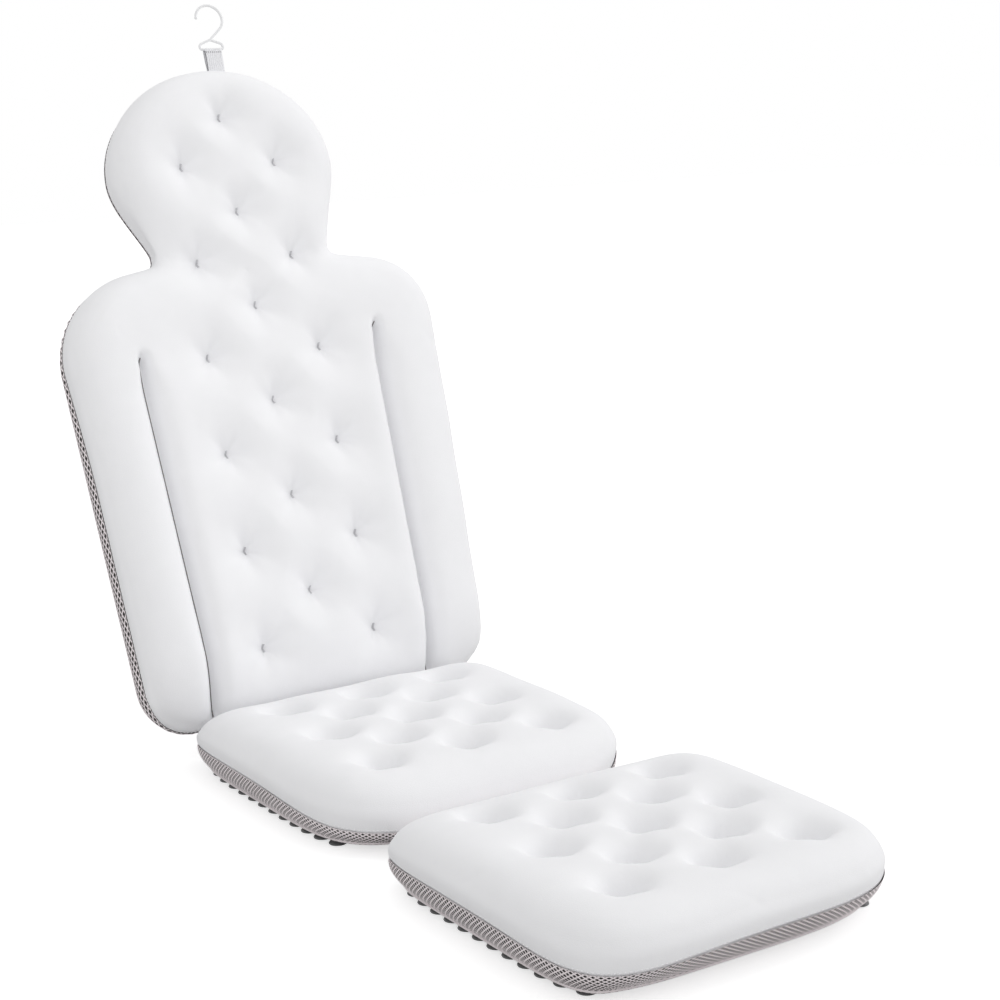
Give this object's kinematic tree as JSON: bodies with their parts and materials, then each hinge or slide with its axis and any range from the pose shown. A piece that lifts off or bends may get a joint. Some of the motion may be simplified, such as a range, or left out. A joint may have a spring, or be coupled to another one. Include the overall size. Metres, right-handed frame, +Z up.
{
  "type": "bath pillow",
  "caption": "Full-body quilted bath pillow with a head-shaped reclining back, a seat pad and a leg pad that fold on fabric hinges, rows of suction cups and a hanging hook.",
  "frame": {"origin": "on the floor plane that the suction cups stand on, under the middle of the bounding box", "axes": "+Y towards the head end, +Z up, +X to the right of someone facing the back from the foot end"},
  "size_m": [0.3778, 0.8536, 0.6793],
  "materials": {
    "cover": "smooth matt white polyester fabric",
    "fill": "white polyester fibre fill",
    "mesh": "grey-beige open air mesh",
    "cups": "smooth dark flexible rubber",
    "webbing": "ribbed light grey webbing",
    "hook": "glossy white plastic-coated wire"
  },
  "bodies": {
    "seat": {"seat_top_cover": "cover", "seat_fill": "fill", "seat_mesh_wall": "mesh", "seat_mesh_base": "mesh", "seat_cup_strip_left": "cups", "seat_cup_strip_right": "cups", "back_fold_strip": "mesh", "leg_fold_strip": "mesh"},
    "leg": {"leg_top_cover": "cover", "leg_fill": "fill", "leg_mesh_wall": "mesh", "leg_mesh_base": "mesh", "leg_cup_strip_left": "cups", "leg_cup_strip_right": "cups"},
    "back": {"back_top_cover": "cover", "back_fill": "fill", "back_mesh_wall": "mesh", "back_mesh_base": "mesh"},
    "strap": {"hanging_loop": "webbing"},
    "hook": {"hook": "hook"}
  },
  "joints": [
    {"name": "back_recline", "type": "hinge", "parent": "seat", "child": "back", "pos_m": [0, 0.22714, 0.0175], "axis": [1, 0, 0], "range_deg": [-72, 8], "deforming": ["back_fold_strip"]},
    {"name": "leg_fold", "type": "hinge", "parent": "seat", "child": "leg", "pos_m": [0, -0.10986, 0.0175], "axis": [-1, 0, 0], "range_deg": [-90, 78], "deforming": ["leg_fold_strip"]},
    {"name": "strap_flop", "type": "hinge", "parent": "back", "child": "strap", "pos_m": [0.0142, 0.4045, 0.61168], "axis": [1, 0, 0], "range_deg": [-45, 45], "stiffness_Nm_per_rad": 0.02},
    {"name": "hook_swing", "type": "hinge", "parent": "strap", "child": "hook", "pos_m": [0.0142, 0.41236, 0.63647], "axis": [1, 0, 0], "range_deg": [-100, 100]}
  ]
}
